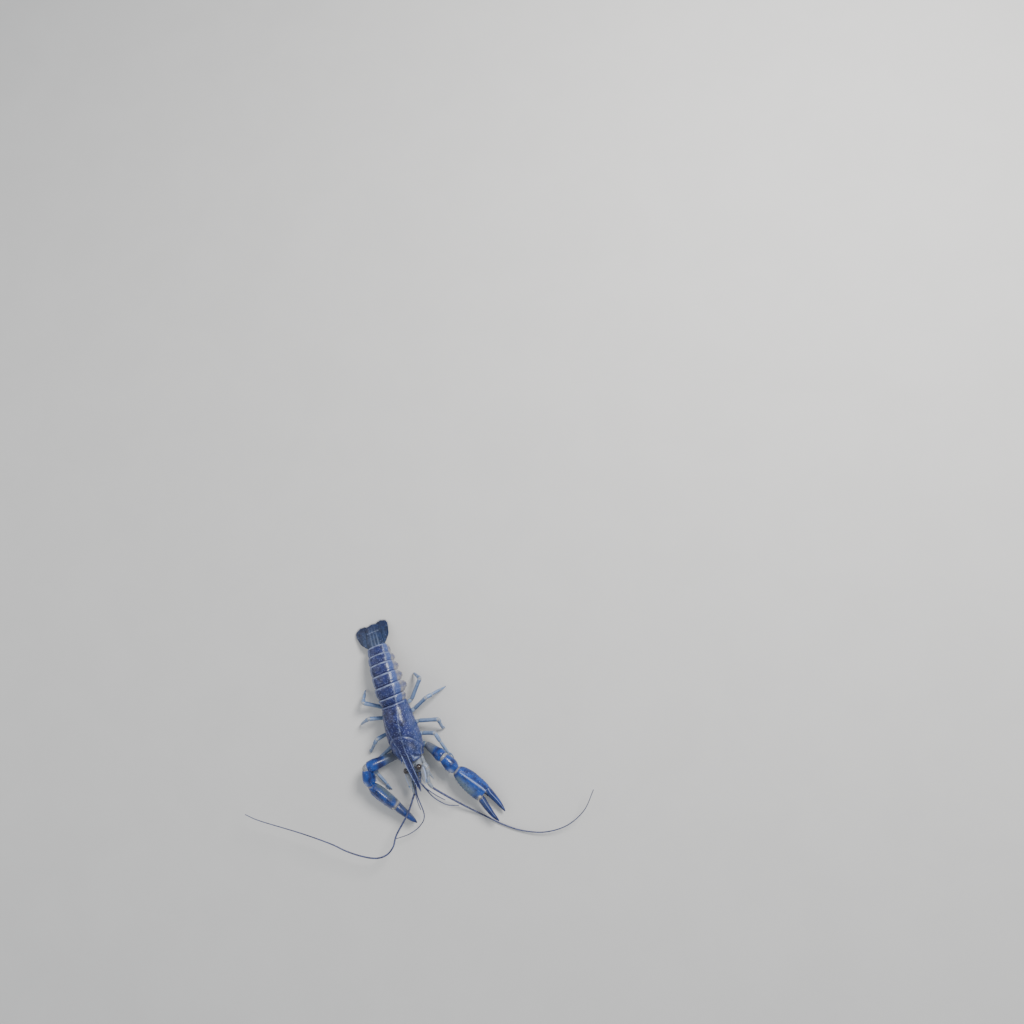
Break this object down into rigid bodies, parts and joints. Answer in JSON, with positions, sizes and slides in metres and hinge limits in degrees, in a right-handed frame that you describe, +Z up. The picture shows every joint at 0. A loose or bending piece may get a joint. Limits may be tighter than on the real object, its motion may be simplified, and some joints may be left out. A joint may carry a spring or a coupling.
{
  "type": "freshwater crayfish",
  "caption": "Life-size still model of a blue freshwater crayfish standing with one claw reached out, one folded in, long feelers and a spread tail fan.",
  "frame": {"origin": "centre of the model's outline on the floor it stands on", "axes": "the head faces -Y, the animal's left side is +X, +Z is up"},
  "size_m": [0.2344, 0.1684, 0.0238],
  "materials": {
    "shell": "wet indigo-blue shell with pale specks",
    "claw": "wet cobalt-blue claw shell, beige inside",
    "leg": "pale steel-blue, slightly glossy",
    "feeler": "blue-violet, finely ringed",
    "tail": "dark blue tail plates with soft ribs",
    "under": "grey-blue to cream soft shell",
    "eye": "glossy black-brown"
  },
  "bodies": {
    "root": {"carapace": "shell", "sternum": "under", "abdomen_1": "shell", "abdomen_2": "shell", "abdomen_3": "shell", "abdomen_4": "shell", "abdomen_5": "shell", "abdomen_6": "shell", "telson": "tail", "uropod_inner_left": "tail", "uropod_inner_right": "tail", "uropod_outer_left": "tail", "uropod_outer_right": "tail", "head": "under", "eyestalk_left": "under", "eyestalk_right": "under", "eye_left": "eye", "eye_right": "eye", "antenna_base_left": "under", "antenna_base_right": "under", "antenna_scale_left": "leg", "antenna_scale_right": "leg", "antennule_left": "feeler", "antennule_right": "feeler", "maxilliped_left": "under", "maxilliped_right": "under", "feeler_left_1": "feeler", "feeler_left_2": "feeler", "feeler_left_3": "feeler", "feeler_right_1": "feeler", "feeler_right_2": "feeler", "feeler_right_3": "feeler", "claw_arm_left": "claw", "claw_arm_right": "claw", "claw_wrist_left": "claw", "claw_wrist_right": "claw", "claw_palm_left": "claw", "claw_palm_right": "claw", "claw_finger_left": "claw", "claw_finger_right": "claw", "leg_2_left_upper": "leg", "leg_2_left_lower": "leg", "leg_2_right_upper": "leg", "leg_2_right_lower": "leg", "leg_3_left_upper": "leg", "leg_3_left_lower": "leg", "leg_3_right_upper": "leg", "leg_3_right_lower": "leg", "leg_4_left_upper": "leg", "leg_4_left_lower": "leg", "leg_4_right_upper": "leg", "leg_4_right_lower": "leg", "leg_5_left_upper": "leg", "leg_5_left_lower": "leg", "leg_5_right_upper": "leg", "leg_5_right_lower": "leg"}
  },
  "joints": []
}
